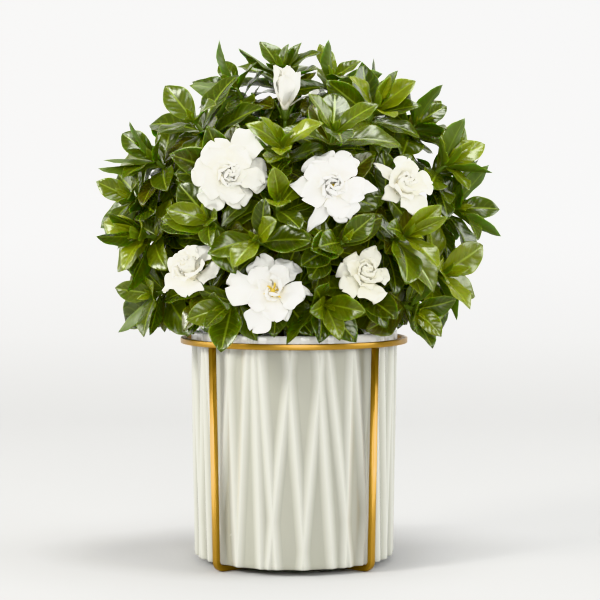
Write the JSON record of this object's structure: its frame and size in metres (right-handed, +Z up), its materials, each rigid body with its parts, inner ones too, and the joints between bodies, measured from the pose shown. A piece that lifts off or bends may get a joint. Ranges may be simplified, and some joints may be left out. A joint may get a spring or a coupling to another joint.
{
  "type": "potted gardenia",
  "caption": "Gardenia shrub with glossy dark leaves and double white blooms in a round white planter with a folded relief, set in a frame of square gold bar.",
  "frame": {"origin": "on the floor under the planter's axis", "axes": "+Z up; -Y is the front, the side that the picture shows; +X to the right seen from the front"},
  "size_m": [0.3434, 0.3012, 0.4417],
  "materials": {
    "glaze": "warm white glossy glaze",
    "gold": "satin gold",
    "potting_mix": "dull and crumbly",
    "bark": "rough",
    "leaf": "waxy gloss",
    "petal": "soft matte",
    "stamen": "dull"
  },
  "bodies": {
    "root": {"planter": "glaze", "stand_ring": "gold", "stand_hoop": "gold", "stand_half_hoop_left": "gold", "stand_half_hoop_right": "gold", "potting_mix": "potting_mix", "woody_stem_1": "bark", "woody_stem_2": "bark", "woody_stem_3": "bark", "leafy_shoot_01": "leaf", "bloom_01": "petal", "leafy_shoot_02": "leaf", "bloom_02": "petal", "stamens_02": "stamen", "leafy_shoot_03": "leaf", "bloom_03": "petal", "leafy_shoot_04": "leaf", "bloom_04": "petal", "leafy_shoot_05": "leaf", "bloom_05": "petal", "stamens_05": "stamen", "leafy_shoot_06": "leaf", "bloom_06": "petal", "leafy_shoot_07": "leaf", "bloom_07": "petal", "leafy_shoot_08": "leaf", "leafy_shoot_09": "leaf", "leafy_shoot_10": "leaf", "leafy_shoot_11": "leaf", "leafy_shoot_12": "leaf", "leafy_shoot_13": "leaf", "leafy_shoot_14": "leaf", "leafy_shoot_15": "leaf", "leafy_shoot_16": "leaf", "leafy_shoot_17": "leaf", "leafy_shoot_18": "leaf", "leafy_shoot_19": "leaf", "leafy_shoot_20": "leaf", "leafy_shoot_21": "leaf", "leafy_shoot_22": "leaf", "leafy_shoot_23": "leaf", "leafy_shoot_24": "leaf", "leafy_shoot_25": "leaf", "leafy_shoot_26": "leaf", "leafy_shoot_27": "leaf", "leafy_shoot_28": "leaf", "leafy_shoot_29": "leaf", "leafy_shoot_30": "leaf", "leafy_shoot_31": "leaf", "leafy_shoot_32": "leaf", "leafy_shoot_33": "leaf", "leafy_shoot_34": "leaf", "leafy_shoot_35": "leaf", "leafy_shoot_36": "leaf", "leafy_shoot_37": "leaf", "leafy_shoot_38": "leaf", "leafy_shoot_39": "leaf", "leafy_shoot_40": "leaf", "leafy_shoot_41": "leaf", "leafy_shoot_42": "leaf"}
  },
  "joints": []
}
